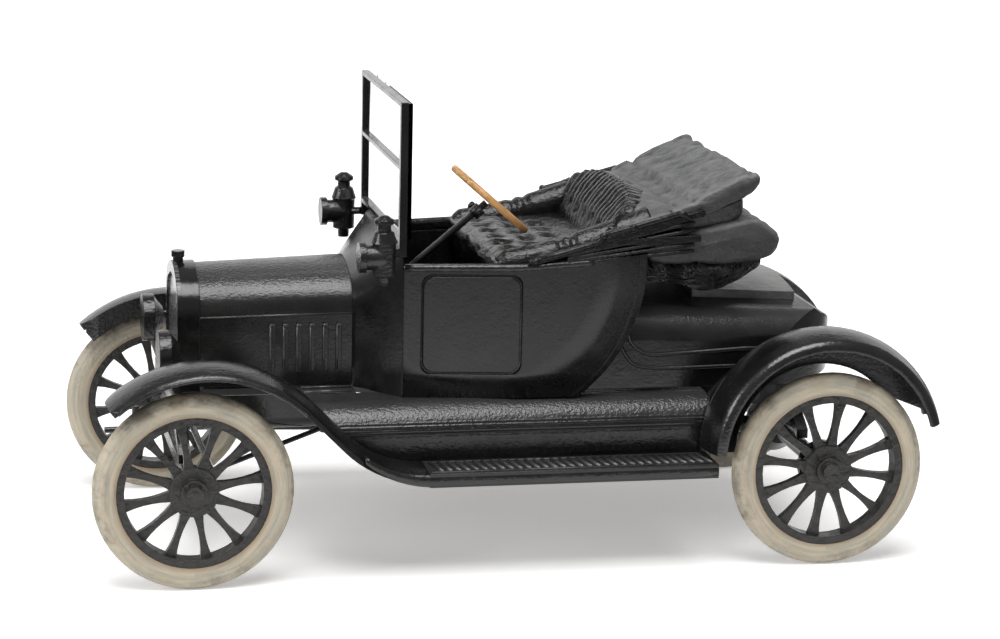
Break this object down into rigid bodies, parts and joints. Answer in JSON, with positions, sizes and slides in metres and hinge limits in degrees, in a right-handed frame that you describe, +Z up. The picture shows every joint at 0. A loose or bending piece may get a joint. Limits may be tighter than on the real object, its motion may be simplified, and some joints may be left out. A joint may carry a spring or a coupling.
{
  "type": "model car, vintage two-seat runabout with its top folded, 1:87 display model",
  "caption": "1:87 model of a vintage two-seat runabout: black body, folded top, upright windscreen, four cream tyres on spoked wheels that turn.",
  "frame": {"origin": "on the floor under the middle of the overall length and width", "axes": "X forward, Y to the left of the car, Z up"},
  "size_m": [0.039, 0.0192, 0.0212],
  "materials": {
    "gloss_black": "brushed-on gloss black paint over a resin casting",
    "dull_black_wheel": "dull black paint on a cast wheel",
    "cream_tyre": "hand-painted cream with grey streaks and smudges",
    "clear_plate": "clear plate with a faint warm tint",
    "dark_grey_top": "dull dark grey paint on a casting with cloth folds",
    "tan_ring": "tan painted steering ring with dark spokes",
    "radiator_black": "black shell with a grey core face",
    "brown_black_frame": "brown-black paint",
    "black_seat": "black paint on tufted upholstery detail"
  },
  "bodies": {
    "body": {"body_side_left": "gloss_black", "body_side_right": "gloss_black", "bonnet": "gloss_black", "cowl": "gloss_black", "deck_lid": "gloss_black", "door_left": "gloss_black", "door_right": "gloss_black", "engine": "gloss_black", "firewall": "gloss_black", "floor_pan": "gloss_black", "folded_top": "dark_grey_top", "frame_rail_left": "gloss_black", "frame_rail_right": "gloss_black", "front_axle": "gloss_black", "front_cross_member": "gloss_black", "front_knuckle_left": "gloss_black", "front_knuckle_right": "gloss_black", "front_spring": "gloss_black", "front_wing_left": "gloss_black", "front_wing_right": "gloss_black", "headlamp_left": "gloss_black", "headlamp_right": "gloss_black", "radiator": "radiator_black", "radiator_cap": "gloss_black", "radius_rods": "gloss_black", "rear_axle": "gloss_black", "rear_cross_member": "gloss_black", "rear_deck": "gloss_black", "rear_panel": "gloss_black", "rear_spring": "gloss_black", "rear_wing_left": "gloss_black", "rear_wing_right": "gloss_black", "running_board_left": "gloss_black", "running_board_right": "gloss_black", "seat_back": "black_seat", "seat_box": "gloss_black", "seat_cushion": "black_seat", "side_lamp_left": "gloss_black", "side_lamp_right": "gloss_black", "sill_apron_left": "gloss_black", "sill_apron_right": "gloss_black", "starting_crank": "gloss_black", "steering_column": "gloss_black", "steering_wheel": "tan_ring", "tie_rod": "gloss_black", "top_irons_left": "gloss_black", "top_irons_right": "gloss_black", "torque_tube": "gloss_black", "windscreen_frame": "brown_black_frame", "windscreen_glass": "clear_plate"},
    "front_left_wheel": {"front_wheel_left": "dull_black_wheel", "front_tyre_left": "cream_tyre"},
    "front_right_wheel": {"front_wheel_right": "dull_black_wheel", "front_tyre_right": "cream_tyre"},
    "rear_left_wheel": {"rear_wheel_left": "dull_black_wheel", "rear_tyre_left": "cream_tyre"},
    "rear_right_wheel": {"rear_wheel_right": "dull_black_wheel", "rear_tyre_right": "cream_tyre"}
  },
  "joints": [
    {"name": "front_left_spin", "type": "hinge", "parent": "body", "child": "front_left_wheel", "pos_m": [0.01502, 0.00846, 0.00446], "axis": [0, 1, 0], "continuous": true},
    {"name": "front_right_spin", "type": "hinge", "parent": "body", "child": "front_right_wheel", "pos_m": [0.01502, -0.00846, 0.00446], "axis": [0, 1, 0], "continuous": true},
    {"name": "rear_left_spin", "type": "hinge", "parent": "body", "child": "rear_left_wheel", "pos_m": [-0.01414, 0.00846, 0.00452], "axis": [0, 1, 0], "continuous": true},
    {"name": "rear_right_spin", "type": "hinge", "parent": "body", "child": "rear_right_wheel", "pos_m": [-0.01414, -0.00846, 0.00452], "axis": [0, 1, 0], "continuous": true}
  ]
}
